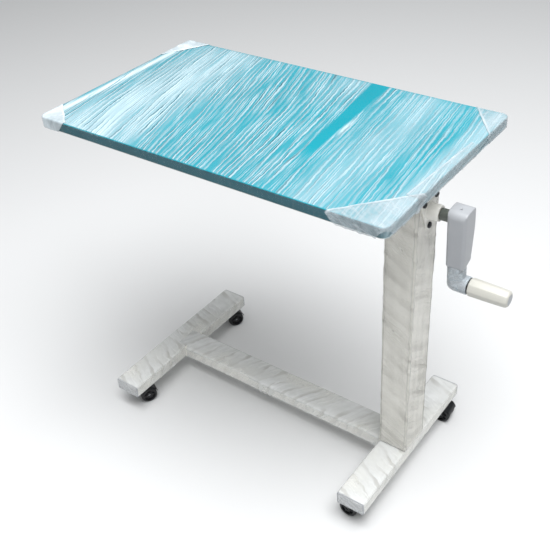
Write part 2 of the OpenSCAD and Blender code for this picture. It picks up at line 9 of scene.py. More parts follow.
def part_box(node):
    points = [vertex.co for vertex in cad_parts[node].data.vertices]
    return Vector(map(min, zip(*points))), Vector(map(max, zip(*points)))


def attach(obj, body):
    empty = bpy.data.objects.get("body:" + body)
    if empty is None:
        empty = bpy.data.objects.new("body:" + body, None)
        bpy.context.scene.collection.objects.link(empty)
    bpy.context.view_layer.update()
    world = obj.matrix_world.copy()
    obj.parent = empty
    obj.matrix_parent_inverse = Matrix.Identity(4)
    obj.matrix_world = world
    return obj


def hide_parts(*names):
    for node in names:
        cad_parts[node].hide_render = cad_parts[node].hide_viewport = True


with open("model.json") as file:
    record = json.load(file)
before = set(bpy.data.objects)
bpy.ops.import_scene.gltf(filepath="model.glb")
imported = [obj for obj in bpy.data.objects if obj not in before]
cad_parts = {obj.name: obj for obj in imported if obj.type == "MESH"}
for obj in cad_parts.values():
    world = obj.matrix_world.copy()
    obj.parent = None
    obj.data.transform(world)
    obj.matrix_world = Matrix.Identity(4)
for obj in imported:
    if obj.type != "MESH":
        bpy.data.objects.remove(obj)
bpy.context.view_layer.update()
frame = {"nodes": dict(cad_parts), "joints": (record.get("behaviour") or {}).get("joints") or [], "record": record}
MM = 0.001


def middle_and_half(node):
    """Centre and half size of a CAD node's box."""
    low, high = (Vector(corner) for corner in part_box(node))
    return (low + high) / 2, (high - low) / 2


def joint(name):
    """A joint's row in the record."""
    return next(row for row in frame["joints"] if row["name"] == name)


TOP_MID, TOP_HALF = middle_and_half("top_laminate")
CRANK_AXIS = Vector(joint("crank_turn")["pos_m"])
GRIP_AXIS = Vector(joint("grip_spin")["pos_m"])


# ---- Camera, lights and floor ----

def camera():
    """Stands at the front right, above the top, with a slight roll."""
    azimuth, elevation, roll = math.radians(38.17), math.radians(36.04), math.radians(-3.725)
    distance = 1.822
    target = Vector((TOP_MID.x - 0.001, -0.007, 0.389))
    back = Vector((math.sin(azimuth) * math.cos(elevation),
                   -math.cos(azimuth) * math.cos(elevation), math.sin(elevation)))
    level = Vector((math.cos(azimuth), math.sin(azimuth), 0))
    upright = back.cross(level)
    right = level * math.cos(roll) + upright * math.sin(roll)
    up = upright * math.cos(roll) - level * math.sin(roll)
    lens = bpy.data.cameras.new("camera")
    lens.lens = 56.8
    lens.sensor_width = 36
    stand = bpy.data.objects.new("camera", lens)
    turn = Matrix((right, up, back)).transposed().to_4x4()
    stand.matrix_world = Matrix.Translation(target + back * distance) @ turn
    bpy.context.scene.collection.objects.link(stand)
    bpy.context.scene.camera = stand


def area_light(name, place, aim, size, power):
    """A soft square light that faces a point."""
    light = bpy.data.lights.new(name, "AREA")
    light.size = size
    light.energy = power
    stand = bpy.data.objects.new(name, light)
    stand.location = place
    stand.rotation_euler = (Vector(aim) - Vector(place)).to_track_quat("-Z", "Y").to_euler()
    bpy.context.scene.collection.objects.link(stand)


def studio():
    """A pale floor under a large soft light from above, in a bright room."""
    world = bpy.data.worlds.new("studio")
    world.use_nodes = True
    background = world.node_tree.nodes["Background"]
    background.inputs["Color"].default_value = linear("F2F4F5")
    background.inputs["Strength"].default_value = 0.30
    bpy.context.scene.world = world
    bpy.context.scene.view_settings.view_transform = "Standard"
    area_light("overhead", (0.8, -0.5, 4.0), (0, 0, 0.4), 3.0, 235)
    area_light("front_fill", (0.9, -2.6, 1.6), (0, 0, 0.4), 1.6, 3)

    floor = bmesh.new()
    bmesh.ops.create_grid(floor, x_segments=2, y_segments=2, size=6)
    ground = make_piece("studio_floor", floor, painted_floor())


# ---- Materials ----

def linear(code):
    """The linear colour of an sRGB hex value."""
    channels = [int(code[i:i + 2], 16) / 255 for i in (0, 2, 4)]
    return [c / 12.92 if c <= 0.04045 else ((c + 0.055) / 1.055) ** 2.4 for c in channels] + [1.0]


def add(tree, kind, inputs=None, **settings):
    """Adds a node: inputs are values or the sockets to link, and settings are its properties."""
    made = tree.nodes.new("ShaderNode" + kind)
    for key, value in settings.items():
        setattr(made, key, value)
    for key, value in (inputs or {}).items():
        if isinstance(value, bpy.types.NodeSocket):
            tree.links.new(value, made.inputs[key])
        else:
            made.inputs[key].default_value = value
    return made


def start_material(name, **inputs):
    """A material with its Principled shader, and its node tree."""
    material = bpy.data.materials.new(name)
    material.use_nodes = True
    tree = material.node_tree
    shader = tree.nodes["Principled BSDF"]
    for key, value in inputs.items():
        shader.inputs[key.replace("_", " ")].default_value = value
    return material, tree, shader


def roughen(tree, shader, height, depth, distance=1.0):
    """Gives a shader a bump whose height is in metres times the pattern."""
    bump = add(tree, "Bump", {"Height": height, "Strength": depth, "Distance": distance * MM})
    tree.links.new(bump.outputs["Normal"], shader.inputs["Normal"])


def painted_floor():
    material, _, shader = start_material("matt_painted_floor", Roughness=0.85)
    shader.inputs["Base Color"].default_value = linear("E3E4E5")
    return material


def powder_coated_steel():
    """Warm white polyester powder coat: low gloss with a fine orange peel, 1.5 mm across."""
    material, tree, shader = start_material("powder_coated_steel", Roughness=0.38)
    place = add(tree, "TexCoord").outputs["Object"]
    peel = add(tree, "TexNoise", {"Vector": place, "Scale": 650.0, "Detail": 2.0})
    tone = add(tree, "TexNoise", {"Vector": place, "Scale": 9.0, "Detail": 3.0})
    shade = add(tree, "ValToRGB", {"Fac": tone.outputs["Fac"]})
    shade.color_ramp.elements[0].color = linear("E4E3DC")
    shade.color_ramp.elements[1].color = linear("F1F0EB")
    tree.links.new(shade.outputs["Color"], shader.inputs["Base Color"])
    roughen(tree, shader, peel.outputs["Fac"], 0.25, 0.15)
    return material


def turquoise_laminate():
    """Printed melamine laminate, turquoise under a clear glossy overlay with a fine pebble."""
    material, tree, shader = start_material("turquoise_melamine_laminate", Roughness=0.22)
    place = add(tree, "TexCoord").outputs["Object"]
    tone = add(tree, "TexNoise", {"Vector": place, "Scale": 4.0, "Detail": 2.0})
    shade = add(tree, "ValToRGB", {"Fac": tone.outputs["Fac"]})
    shade.color_ramp.elements[0].position = 0.3
    shade.color_ramp.elements[1].position = 0.7
    shade.color_ramp.elements[0].color = linear("078A9B")
    shade.color_ramp.elements[1].color = linear("0F98A9")
    tree.links.new(shade.outputs["Color"], shader.inputs["Base Color"])
    pebble = add(tree, "TexNoise", {"Vector": place, "Scale": 900.0, "Detail": 1.0})
    roughen(tree, shader, pebble.outputs["Fac"], 0.15, 0.1)
    return material


def dark_teal_edge():
    """ABS edge band, dark teal, with faint extrusion lines."""
    material, tree, shader = start_material("abs_edge_band", Roughness=0.3)
    place = add(tree, "TexCoord").outputs["Object"]
    lines = add(tree, "Mapping", {"Vector": place, "Scale": (8, 8, 900)})
    grain = add(tree, "TexNoise", {"Vector": lines.outputs["Vector"], "Scale": 1.0, "Detail": 2.0})
    shade = add(tree, "ValToRGB", {"Fac": grain.outputs["Fac"]})
    shade.color_ramp.elements[0].color = linear("074854")
    shade.color_ramp.elements[1].color = linear("0D5F6E")
    tree.links.new(shade.outputs["Color"], shader.inputs["Base Color"])
    roughen(tree, shader, grain.outputs["Fac"], 0.2, 0.1)
    return material


def moulded_plastic(name, dark, light, roughness, grain_mm=0.8):
    """Injection moulded plastic with a spark-eroded grain."""
    material, tree, shader = start_material(name, Roughness=roughness)
    place = add(tree, "TexCoord").outputs["Object"]
    grain = add(tree, "TexNoise", {"Vector": place, "Scale": 1 / (grain_mm * MM), "Detail": 3.0})
    tone = add(tree, "TexNoise", {"Vector": place, "Scale": 20.0, "Detail": 2.0})
    shade = add(tree, "ValToRGB", {"Fac": tone.outputs["Fac"]})
    shade.color_ramp.elements[0].color = linear(dark)
    shade.color_ramp.elements[1].color = linear(light)
    tree.links.new(shade.outputs["Color"], shader.inputs["Base Color"])
    roughen(tree, shader, grain.outputs["Fac"], 0.3, 0.15)
    return material


def turned_metal(name, dark, light, roughness, line_mm=0.6):
    """Machined metal with turning or drawing marks."""
    material, tree, shader = start_material(name, Metallic=1.0)
    place = add(tree, "TexCoord").outputs["Object"]
    stretch = add(tree, "Mapping", {"Vector": place, "Scale": (1 / (line_mm * MM), 60, 60)})
    marks = add(tree, "TexNoise", {"Vector": stretch.outputs["Vector"], "Scale": 1.0, "Detail": 3.0})
    shade = add(tree, "ValToRGB", {"Fac": marks.outputs["Fac"]})
    shade.color_ramp.elements[0].color = linear(dark)
    shade.color_ramp.elements[1].color = linear(light)
    tree.links.new(shade.outputs["Color"], shader.inputs["Base Color"])
    gloss = add(tree, "MapRange", {"Value": marks.outputs["Fac"], "To Min": roughness - 0.08,
                                   "To Max": roughness + 0.12})
    tree.links.new(gloss.outputs["Result"], shader.inputs["Roughness"])
    roughen(tree, shader, marks.outputs["Fac"], 0.2, 0.05)
    return material


def particleboard():
    """Chipboard core: pressed chips 2 to 4 mm across."""
    material, tree, shader = start_material("particleboard", Roughness=0.8)
    place = add(tree, "TexCoord").outputs["Object"]
    chips = add(tree, "TexVoronoi", {"Vector": place, "Scale": 350.0})
    shade = add(tree, "ValToRGB", {"Fac": chips.outputs["Color"]})
    shade.color_ramp.elements[0].color = linear("8F7449")
    shade.color_ramp.elements[1].color = linear("C4A878")
    tree.links.new(shade.outputs["Color"], shader.inputs["Base Color"])
    return material


WAVE_PERIOD = math.pi / 10   # length of one band of the wave texture at scale 1


def crease_lines(tree, place, pitch_mm, length_mm, phase, sharp):
    """Thin wandering lines along the film's pull: 1 on a line and 0 between."""
    pull = add(tree, "Mapping", {"Vector": place, "Scale": (WAVE_PERIOD / (pitch_mm * MM),
                                                           1 / (length_mm * MM), 1.0)})
    bands = add(tree, "TexWave", {"Vector": pull.outputs["Vector"], "Scale": 1.0, "Distortion": 4.5,
                                  "Detail": 1.0, "Detail Scale": 1.3, "Phase Offset": phase})
    line = add(tree, "MapRange", {"Value": bands.outputs["Fac"], "From Min": sharp, "From Max": 0.98},
               interpolation_type="SMOOTHSTEP")
    return line.outputs["Result"]


def drawn_noise(tree, place, across_mm, along_mm, low, high, detail=2.0):
    """Noise drawn out along the film's pull, spread from 0 to 1 between two of its levels."""
    pull = add(tree, "Mapping", {"Vector": place, "Scale": (1 / (across_mm * MM),
                                                           1 / (along_mm * MM), 1.0)})
    cloud = add(tree, "TexNoise", {"Vector": pull.outputs["Vector"], "Scale": 1.0, "Detail": detail})
    spread = add(tree, "MapRange", {"Value": cloud.outputs["Fac"], "From Min": low, "From Max": high})
    return spread.outputs["Result"]


def stretch_film(name, pitch_mm, length_mm, tint, shade, painted_highlight_alpha, painted_shade_alpha, wiggle_mm):
    """Stretch-wrapped LDPE film, a few layers deep. It is clear where it lies flat, and hazy where
    its layers part. Pulled creases are painted in: a white painted highlight line beside a painted
    shade line in the shade colour, with alphas that set how strongly each shows. The creases follow
    the film's own UV map, in metres, and the haze and crease attributes say how strong they are."""
    material, tree, shader = start_material(name, Roughness=0.2, IOR=1.5)
    place = add(tree, "TexCoord").outputs["UV"]
    warp = add(tree, "TexNoise", {"Vector": place, "Scale": 75.0, "Detail": 1.0})
    bent = add(tree, "VectorMath", {0: warp.outputs["Color"], 1: (2 * wiggle_mm * MM, 0, 0), 2: place},
               operation="MULTIPLY_ADD").outputs["Vector"]
    crease = add(tree, "Attribute", attribute_name="crease").outputs["Fac"]
    haze = add(tree, "Attribute", attribute_name="haze").outputs["Fac"]
    broad = drawn_noise(tree, bent, 1.7 * pitch_mm, 0.8 * length_mm, 0.35, 0.62)
    here = add(tree, "Math", {0: crease, 1: broad}, operation="MULTIPLY").outputs["Value"]
    # Painted highlight: a thin white line along each crease, standing in for the light the crease would catch
    lines = crease_lines(tree, bent, pitch_mm, length_mm, 0.0, 0.72)
    wide = add(tree, "Math", {0: lines, 1: here}, operation="MULTIPLY").outputs["Value"]
    # Painted shade: a line in the shade colour just beside each painted highlight line
    lines = crease_lines(tree, bent, pitch_mm, length_mm, 1.5, 0.66)
    dark = add(tree, "Math", {0: lines, 1: here}, operation="MULTIPLY").outputs["Value"]
    narrow = drawn_noise(tree, bent, 2.3 * pitch_mm, 0.5 * length_mm, 0.45, 0.66)
    some = add(tree, "Math", {0: crease, 1: narrow}, operation="MULTIPLY").outputs["Value"]
    # Finer painted highlight lines where the film is only lightly creased
    lines = crease_lines(tree, bent, 0.45 * pitch_mm, 0.6 * length_mm, 2.0, 0.7)
    fine = add(tree, "Math", {0: lines, 1: some}, operation="MULTIPLY").outputs["Value"]
    white = add(tree, "Math", {0: wide, 1: fine}, operation="MAXIMUM").outputs["Value"]
    layers = drawn_noise(tree, bent, 3 * pitch_mm, 1.6 * length_mm, 0.3, 0.7, 4.0)
    parted = add(tree, "Math", {0: layers, 1: 1.3, 2: 0.4}, operation="MULTIPLY_ADD").outputs["Value"]
    veil = add(tree, "Math", {0: haze, 1: parted}, operation="MULTIPLY").outputs["Value"]
    # Alpha: the painted highlight lines over the film's haze, then the painted shade lines
    highlight_and_haze = add(tree, "Math", {0: white, 1: painted_highlight_alpha, 2: veil}, operation="MULTIPLY_ADD", use_clamp=True)
    alpha = add(tree, "Math", {0: dark, 1: painted_shade_alpha, 2: highlight_and_haze.outputs["Value"]},
                operation="MULTIPLY_ADD", use_clamp=True)
    # Base colour: the painted shade colour on the painted shade lines, the film's own tint elsewhere
    painted_shade_weight = add(tree, "Math", {0: dark, 1: white}, operation="SUBTRACT", use_clamp=True)
    colour = add(tree, "Mix", {"Factor": painted_shade_weight.outputs["Value"]}, data_type="RGBA")
    colour.inputs[6].default_value = linear(tint)
    colour.inputs[7].default_value = linear(shade)
    tree.links.new(colour.outputs[2], shader.inputs["Base Color"])
    tree.links.new(alpha.outputs["Value"], shader.inputs["Alpha"])
    return material


# ---- Making pieces ----

def make_piece(name, shape, material, smooth=False):
    """Turns a bmesh into an object at the origin."""
    mesh = bpy.data.meshes.new(name)
    shape.to_mesh(mesh)
    shape.free()
    mesh.materials.append(material)
    mesh.shade_smooth() if smooth else mesh.shade_flat()
    piece = bpy.data.objects.new(name, mesh)
    bpy.context.scene.collection.objects.link(piece)
    return piece


def thicken(piece, thickness):
    """Gives a sheet its thickness, outwards."""
    wall = piece.modifiers.new("thickness", "SOLIDIFY")
    wall.thickness = thickness
    wall.offset = 1


def waves(x, y, across, along, seed):
    """Ridges that run along y, from 0 in the valleys to 1 on the crests."""
    sway = 0.9 * noise.noise(Vector((x / (9 * across), y / (0.6 * along), seed)))
    value = noise.noise(Vector((x / across + sway, y / along, seed + 7.3)))
    return (1 - min(1.0, abs(value) * 2.2)) ** 2


def fold_over(flat, half, corner, thick, fold):
    """Where a point of a flat sheet goes when the sheet is folded over a plate's edge and under it:
    its place from the middle of the plate's upper face, its outward direction, and how far past
    the start of the fold it is."""
    past = Vector((abs(flat.x) - half.x + corner, abs(flat.y) - half.y + corner))
    clip = Vector((max(past.x, 0), max(past.y, 0)))
    reach = clip.length + min(max(past.x, past.y), 0) - corner + fold
    up = Vector((0, 0, 1))
    if reach <= 0:
        return Vector((flat.x, flat.y, 0)), up, reach
    clip.normalize()
    away = Vector((math.copysign(clip.x, flat.x), math.copysign(clip.y, flat.y), 0))
    start = Vector((flat.x, flat.y, 0)) - away * reach
    arc = math.pi / 2 * fold
    wall = thick - 2 * fold
    if reach < arc:
        turn = reach / fold
        outward = away * math.sin(turn) + up * math.cos(turn)
        return start + outward * fold - up * fold, outward, reach
    if reach < arc + wall:
        return start + away * fold - up * (fold + reach - arc), away, reach
    if reach < 2 * arc + wall:
        turn = (reach - arc - wall) / fold
        outward = away * math.cos(turn) - up * math.sin(turn)
        return start + outward * fold - up * (thick - fold), outward, reach
    return start - away * (reach - 2 * arc - wall) - up * thick, -up, reach


def ramp(value, low, high):
    """A smooth step from 0 at low to 1 at high."""
    part = min(max((value - low) / (high - low), 0), 1)
    return part * part * (3 - 2 * part)


def bell(value, middle, width):
    """A bump of height 1 about a middle."""
    return math.exp(-((value - middle) / width) ** 2)


def film_sheet(name, shape, material, body, node=None):
    """Finishes a sheet of film: thickness, moving body, material slot and the CAD node it shows."""
    piece = make_piece(name, shape, material, smooth=True)
    thicken(piece, 0.15 * MM)
    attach(piece, body)
    if node:
        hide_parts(node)
    return piece


def set_film(sheet, spots, marks):
    """Writes a sheet's UV map, its points' places along the pull in metres, and how hazy and how
    creased the film is at each point."""
    layer = sheet.loops.layers.uv.new("flat")
    haze = sheet.verts.layers.float.new("haze")
    crease = sheet.verts.layers.float.new("crease")
    for vert in sheet.verts:
        vert[haze], vert[crease] = marks[vert.index]
    for face in sheet.faces:
        for loop in face.loops:
            loop[layer].uv = spots[loop.vert.index]


def pull_line(x, y):
    """Which pulled line of the top's film a point lies on: the lines slant most left of the middle."""
    return x + (0.13 + 0.17 * bell(x, -0.11, 0.17)) * y


def film_over_top():
    """The film folded over the top and under its edges, pulled tight across its width."""
    middle, half = middle_and_half("film_top")
    thick = 2 * half.z
    reach = thick + TOP_HEM
    sheet = bmesh.new()
    bmesh.ops.create_grid(sheet, x_segments=330, y_segments=104, size=0.5)
    spots, marks = [], []
    for vert in sheet.verts:
        flat = Vector((vert.co.x * 2 * (half.x + reach), vert.co.y * 2 * (half.y + reach)))
        place, outward, past = fold_over(flat, half, TOP_CORNER, thick, TOP_FOLD)
        line = pull_line(flat.x, flat.y)
        lift = 0.75 * MM * waves(line, flat.y, 7 * MM, 170 * MM, 1.0)
        if past > 0:
            lift += 1.4 * MM * ramp(place.x, 0.34, 0.38) * abs(noise.noise(place * 45))
            lift *= 0.9
        vert.co = Vector((middle.x, middle.y, middle.z + half.z)) + place + outward * (lift + FILM_GAP)
        spots.append(Vector((line, flat.y)))
        marks.append(top_marks(place.x / MM, place.y / MM, past))
    set_film(sheet, spots, marks)
    film_sheet("top_film", sheet, FILM_TOP, "lift", "film_top")


def top_marks(x, y, past):
    """Haze and crease of the top's film at a place in millimetres from the middle of the top."""
    haze = 0.02 + 0.48 * bell(x, -245, 75) * (0.7 - 0.3 * y / 220)
    haze += 0.12 * bell(x, 235, 45) + 0.20 * ramp(x, 330, 372) + 0.1 * bell(x, 60, 60) * ramp(y, 60, 200)
    haze += 0.85 * bell(x, -364, 7) + 0.7 * bell(x + 0.1 * y, 156, 4) * bell(y, 30, 26)
    crease = 0.95 - 0.35 * ramp(x, 120, 200)
    band = 115 + 0.1 * (215 - y)
    width = 11 + 0.03 * y
    clear = (1 - ramp(abs(x - band), width, width + 5)) * ramp(y, -150, -60)
    haze *= 1 - clear
    crease *= 1 - clear
    if past > 0:
        side = ramp(x, 366, 380)
        haze = 0.16 * side + 0.5 * ramp(-x, 350, 380)
        crease = 0.03 + 0.5 * side + 0.5 * ramp(-x, 350, 380)
    return min(haze, 0.95), crease


def film_patch(name, start, end, depth, haze, crumple, seed):
    """An extra layer of film over the top's edge: from a line between two places on the top, given
    in millimetres, out to a depth past it and down over the edge. Its first edge is a tight fold."""
    middle, half = middle_and_half("film_top")
    thick = 2 * half.z
    start, end = Vector(start) * MM, Vector(end) * MM
    along = (end - start).normalized()
    out = Vector((-along.y, along.x))
    length = (end - start).length
    sheet = bmesh.new()
    bmesh.ops.create_grid(sheet, x_segments=int(length / (1.6 * MM)),
                          y_segments=int(depth / 1.6), size=0.5)
    spots, marks = [], []
    for vert in sheet.verts:
        s, t = (vert.co.x + 0.5) * length, (0.5 + vert.co.y) * depth * MM
        wander = 1.5 * MM * noise.noise(Vector((s * 40, seed, 0)))
        flat = start + along * s + out * (t + wander)
        place, outward, _ = fold_over(flat, half, TOP_CORNER, thick, TOP_FOLD)
        ripple = abs(noise.noise(Vector((s * 60, t * 34, seed))))
        ripple += 0.5 * abs(noise.noise(Vector((s * 150, t * 80, seed + 3))))
        lift = 1.0 * MM + crumple * MM * ripple * ramp(t, 0, 12 * MM)
        lift += 0.6 * MM * bell(t, 2.5 * MM, 1.8 * MM)
        vert.co = Vector((middle.x, middle.y, middle.z + half.z)) + place + outward * lift
        spots.append(Vector((s + 0.3 * t, t)))
        rim = bell(t, 2.2 * MM, 2.0 * MM)
        marks.append((min(0.95, haze * (0.75 + 0.5 * ripple) + 0.3 * rim), 0.22))
    set_film(sheet, spots, marks)
    return film_sheet(name, sheet, FILM_BUNCHED, "lift")


def around(s, half, radius):
    """A point on a rounded rectangle's outline, s metres along it, and its outward direction."""
    straight = (2 * (half.x - radius), 2 * (half.y - radius))
    arc = math.pi / 2 * radius
    corners = ((1, -1), (1, 1), (-1, 1), (-1, -1))
    for k in range(4):
        length = straight[1] if k % 2 == 0 else straight[0]
        turn = k * math.pi / 2
        normal = Vector((math.cos(turn), math.sin(turn)))
        tangent = Vector((-normal.y, normal.x))
        start = Vector((corners[k][0] * (half.x - radius), corners[k][1] * (half.y - radius)))
        if s <= length:
            return start + normal * radius + tangent * s, normal
        s -= length
        if s <= arc or k == 3:
            swing = turn + s / radius
            normal = Vector((math.cos(swing), math.sin(swing)))
            return start + tangent * length + normal * radius, normal
        s -= arc
    return None


def beside_flange(y, z):
    """How far a place on the column's outer face is outside the triangle between the bolts."""
    apex, base = -BOLT_DROP, BOLT_RISE
    slope = Vector((base - apex, -BOLT_SPREAD)).normalized()
    return max(z - base, Vector((abs(y), z - apex)).dot(slope))


def film_round_column():
    """The film wound round the column: tight at its foot, slack towards its head, with slanting
    creases, a painted highlight line down each corner, and a window round the bearing housing."""
    middle, half = middle_and_half("film_column")
    radius = 4.4 * MM
    girth = 4 * (half.x + half.y - 2 * radius) + 2 * math.pi * radius
    sheet = bmesh.new()
    bmesh.ops.create_grid(sheet, x_segments=128, y_segments=180, size=0.5)
    spots, marks, outer = [], [], {}
    for vert in sheet.verts:
        s, z = (vert.co.x + 0.5) * girth, vert.co.y * 2 * half.z
        edge, normal = around(s, half, radius)
        height = 0.5 + vert.co.y
        wrap = Vector((3 * math.cos(2 * math.pi * s / girth), 3 * math.sin(2 * math.pi * s / girth)))
        slack = (0.3 + 1.9 * ramp(height, 0.15, 0.95)) * MM
        wide = 0.5 + 0.5 * noise.noise(Vector((wrap.x, wrap.y, z * 16)))
        lift = slack * wide
        lift += (0.5 + 0.6 * height) * MM * waves(z + 0.5 * edge.x - 0.4 * edge.y, s, 34 * MM, 90 * MM, 3.0)
        lift += 1.6 * MM * ramp(-height, -0.012, 0)
        spot = edge + normal * (lift + FILM_GAP)
        vert.co = Vector((middle.x + spot.x, middle.y + spot.y, middle.z + z))
        # Painted highlight: extra white haze down each rounded corner, standing in for the light the corner
        # catches
        corner = abs(normal.x * normal.y) * 2
        haze = 0.13 + 0.55 * corner + 0.10 * noise.noise(Vector((wrap.x, wrap.y, z * 9)))
        marks.append((max(0, haze), 0.55))
        spots.append(Vector((z + 0.55 * s, s)))
        outer[vert.index] = (normal.x > 0.9, edge.y, middle.z + z - CRANK_AXIS.z)
    set_film(sheet, spots, marks)
    window = []
    for face in sheet.faces:
        on_face = all(outer[vert.index][0] for vert in face.verts)
        centre = [sum(outer[vert.index][k] for vert in face.verts) / 4 for k in (1, 2)]
        if on_face and beside_flange(centre[0], centre[1]) < 12 * MM:
            window.append(face)
    bmesh.ops.delete(sheet, geom=window, context="FACES")
    bmesh.ops.remove_doubles(sheet, verts=sheet.verts, dist=0.02 * MM)
    film_sheet("column_film", sheet, FILM_WOUND_PAINTED_DARKER, "lift", "film_column")


def film_round_foot(name, node, film_node):
    """The film folded over a foot, round its ends and a little way under it."""
    middle, half = middle_and_half(node)
    half.y = middle_and_half("foot_end_caps")[1].y
    half += Vector((0.4, 0.4, 0.4)) * MM
    thick = 2 * half.z
    hem = 7 * MM
    fold = 4.4 * MM
    reach = thick + hem
    post, post_half = middle_and_half("base_post")
    size = (half.x + reach, half.y + reach)
    sheet = bmesh.new()
    bmesh.ops.create_grid(sheet, x_segments=52, y_segments=180, size=0.5)
    spots, marks = [], []
    for vert in sheet.verts:
        flat = Vector((vert.co.x * 2 * size[0], vert.co.y * 2 * size[1]))
        place, outward, past = fold_over(flat, half.xy, 5 * MM, thick, fold)
        calm = ramp(abs(place.y), 42 * MM, 60 * MM) if abs(middle.x - post.x) < half.x else 1
        lift = 0.35 * MM * waves(flat.y + 0.3 * flat.x, flat.x, 16 * MM, 60 * MM, 9 + middle.x)
        lift += 0.55 * MM * abs(noise.noise(Vector((flat.x * 25, flat.y * 14, middle.x * 9))))
        vert.co = (Vector((middle.x, middle.y, middle.z + half.z)) + place
                   + outward * (lift * max(calm, 0.15) + FILM_GAP))
        ends = ramp(abs(place.y), half.y - 30 * MM, half.y)
        haze = 0.42 + 0.25 * noise.noise(Vector((flat.x * 22, flat.y * 12, 2))) + 0.2 * ends
        haze *= 1 - 0.65 * ramp(past, 0, 8 * MM)
        marks.append((haze, 0.5))
        spots.append(Vector((flat.y + 0.4 * flat.x, flat.x)))
    set_film(sheet, spots, marks)
    inside = [face for face in sheet.faces
              if abs(face.calc_center_median().x - post.x) < post_half.x + 2 * MM
              and abs(face.calc_center_median().y - post.y) < post_half.y + 2 * MM
              and face.calc_center_median().z > middle.z + half.z - 1 * MM]
    bmesh.ops.delete(sheet, geom=inside, context="FACES")
    film_sheet(name, sheet, FILM_FEET_PAINTED_BRIGHTER, "base", film_node)


def film_over_bar():
    """Film over the top and sides of the cross bar, lapped on to the top of each foot."""
    middle, half = middle_and_half("film_cross_bar")
    lap = 26 * MM
    width, depth, radius = half.y, 2 * middle_and_half("cross_bar")[1].z + 0.4 * MM, 4.4 * MM
    length = 2 * (half.x + lap)
    girth = 2 * (width + depth)
    sheet = bmesh.new()
    bmesh.ops.create_grid(sheet, x_segments=200, y_segments=48, size=0.5)
    spots, marks = [], []
    for vert in sheet.verts:
        t, s = vert.co.x * length, vert.co.y * girth
        place, outward = over_ridge(s, width, depth, radius)
        lift = 0.35 * MM * waves(t - 0.5 * s, s, 18 * MM, 70 * MM, 5.0)
        lift += 0.5 * MM * abs(noise.noise(Vector((t * 14, s * 25, 8))))
        lift += 1.1 * MM * ramp(abs(t), half.x - 25 * MM, half.x)
        vert.co = (Vector((middle.x + t, middle.y + place.x, middle.z + half.z + place.y))
                   + Vector((0, outward.x, outward.y)) * (lift + FILM_GAP))
        haze = 0.42 + 0.22 * noise.noise(Vector((t * 12, s * 20, 6)))
        haze *= 1 - 0.65 * ramp(-place.y, 0, 8 * MM)
        marks.append((haze, 0.5))
        spots.append(Vector((t - 0.5 * s, s)))
    set_film(sheet, spots, marks)
    post, post_half = middle_and_half("column_sleeve")
    buried = []
    for face in sheet.faces:
        spot = face.calc_center_median()
        side = spot.z < middle.z + half.z - radius or abs(spot.y) > width - radius
        in_foot = abs(spot.x - middle.x) > half.x - 0.5 * MM
        in_column = spot.x > post.x - post_half.x - 3 * MM
        if (in_foot and side) or in_column:
            buried.append(face)
    bmesh.ops.delete(sheet, geom=buried, context="FACES")
    bmesh.ops.recalc_face_normals(sheet, faces=sheet.faces)
    film_sheet("cross_bar_film", sheet, FILM_FEET_PAINTED_BRIGHTER, "base", "film_cross_bar")


def over_ridge(s, width, depth, radius):
    """A point of a strip laid over a tube, s metres from its middle: across, down, and outward."""
    flat_half = width - radius
    arc = math.pi / 2 * radius
    sign = math.copysign(1, s)
    s = abs(s)
    if s <= flat_half:
        return Vector((sign * s, 0)), Vector((0, 1))
    if s <= flat_half + arc:
        swing = (s - flat_half) / radius
        outward = Vector((sign * math.sin(swing), math.cos(swing)))
        return Vector((sign * flat_half, -radius)) + outward * radius, outward
    down = min(s - flat_half - arc, depth - radius)
    return Vector((sign * width, -radius - down)), Vector((sign, 0))


# ---- Moulded and turned pieces ----

def lathe(shape, profile, place, steps=48):
    """Adds a turned solid to a shape: the outline of its section, as radius and height in
    millimetres, spun about Z and then put in place."""
    before = set(shape.verts)
    ring = [shape.verts.new((r * MM, 0, z * MM)) for r, z in profile]
    edges = [shape.edges.new((ring[i], ring[i - 1])) for i in range(len(ring))]
    bmesh.ops.spin(shape, geom=ring + edges, cent=(0, 0, 0), axis=(0, 0, 1), angle=2 * math.pi,
                   steps=steps, use_merge=True)
    made = [vert for vert in shape.verts if vert not in before]
    bmesh.ops.remove_doubles(shape, verts=made, dist=0.005 * MM)
    made = [vert for vert in shape.verts if vert not in before]
    bmesh.ops.transform(shape, matrix=place, verts=made)
    bmesh.ops.recalc_face_normals(shape, faces=shape.faces)
    return made


def along_axis(spot, axis):
    """The placing that turns Z into an axis and moves the origin to a spot."""
    turn = Vector((0, 0, 1)).rotation_difference(Vector(axis)).to_matrix().to_4x4()
    return Matrix.Translation(Vector(spot)) @ turn


def finish_piece(name, shape, material, body, node, smooth_deg=40):
    """Finishes a solid piece that stands for a CAD node."""
    piece = make_piece(name, shape, material)
    piece.data.shade_smooth()
    piece.data.set_sharp_from_angle(angle=math.radians(smooth_deg))
    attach(piece, body)
    if node:
        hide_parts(node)
    return piece


